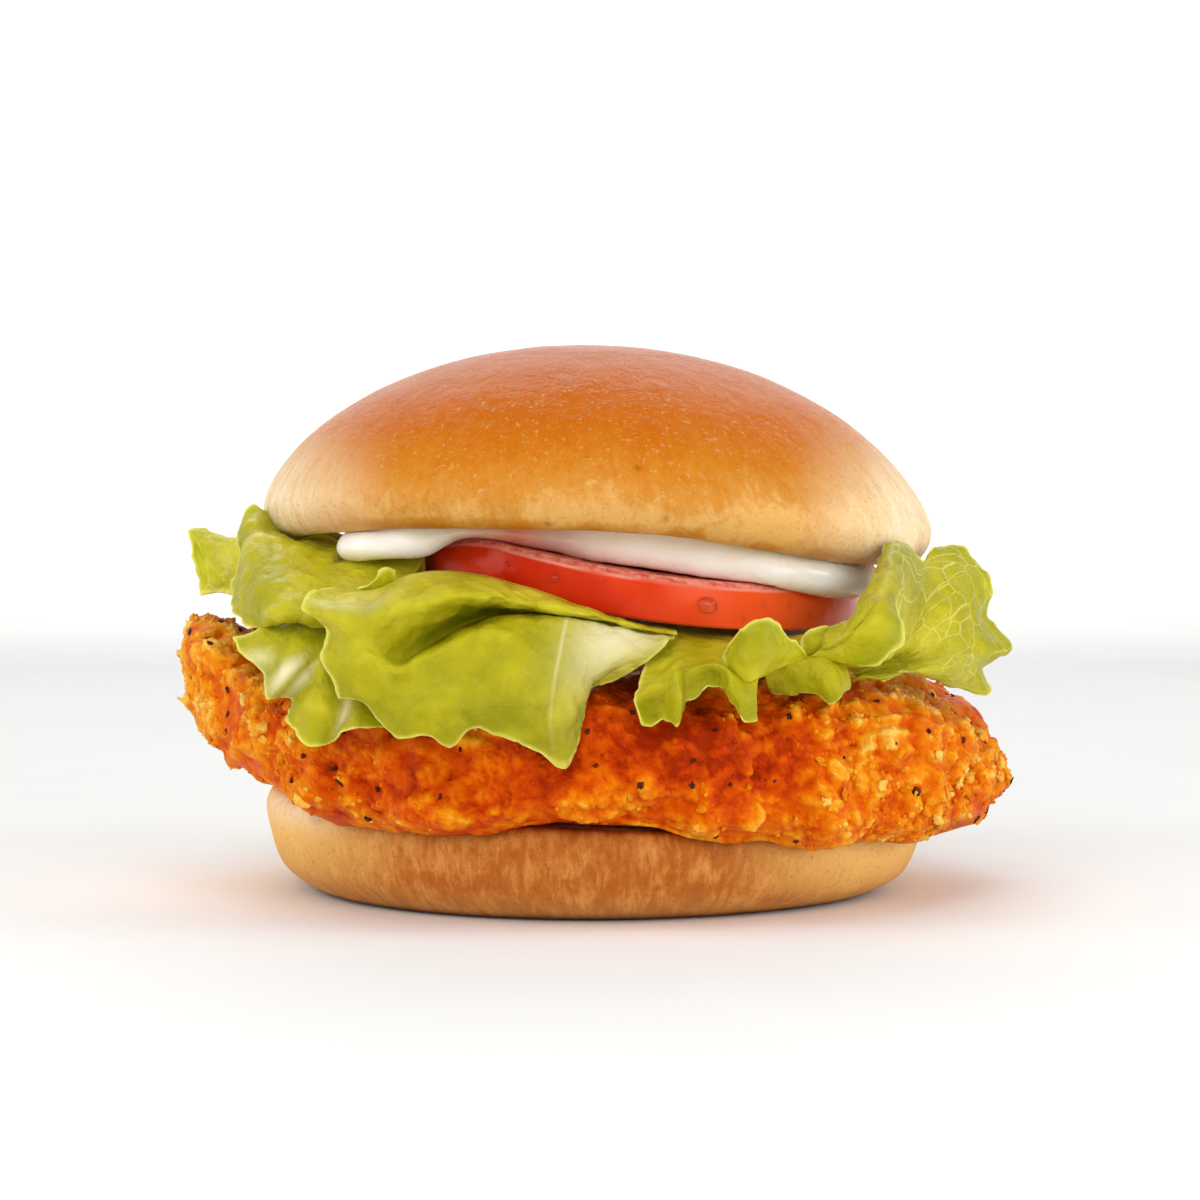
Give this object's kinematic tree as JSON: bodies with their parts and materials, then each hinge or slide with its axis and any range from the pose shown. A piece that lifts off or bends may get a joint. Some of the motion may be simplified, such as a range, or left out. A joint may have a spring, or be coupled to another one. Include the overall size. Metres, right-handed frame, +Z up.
{
  "type": "chicken burger",
  "caption": "Domed bun cut in two around a craggy fried chicken fillet, frilled lettuce leaves, a tomato slice and mayonnaise, standing on its flat base.",
  "frame": {"origin": "centre of the heel's flat underside, where the burger stands", "axes": "+Z up through the bun, +X to the viewer's right along the fillet's length, the shown side faces -Y"},
  "size_m": [0.1334, 0.1228, 0.0873],
  "materials": {
    "crown_crust": "satin",
    "heel_crust": "matte",
    "fried_coating": "rough, with an oily sheen",
    "lettuce": "satin",
    "tomato": "gloss",
    "mayonnaise": "satin"
  },
  "bodies": {
    "root": {"heel": "heel_crust", "fillet": "fried_coating", "lettuce_left": "lettuce", "lettuce_centre": "lettuce", "lettuce_right": "lettuce", "tomato": "tomato", "mayonnaise": "mayonnaise", "crown": "crown_crust"}
  },
  "joints": []
}
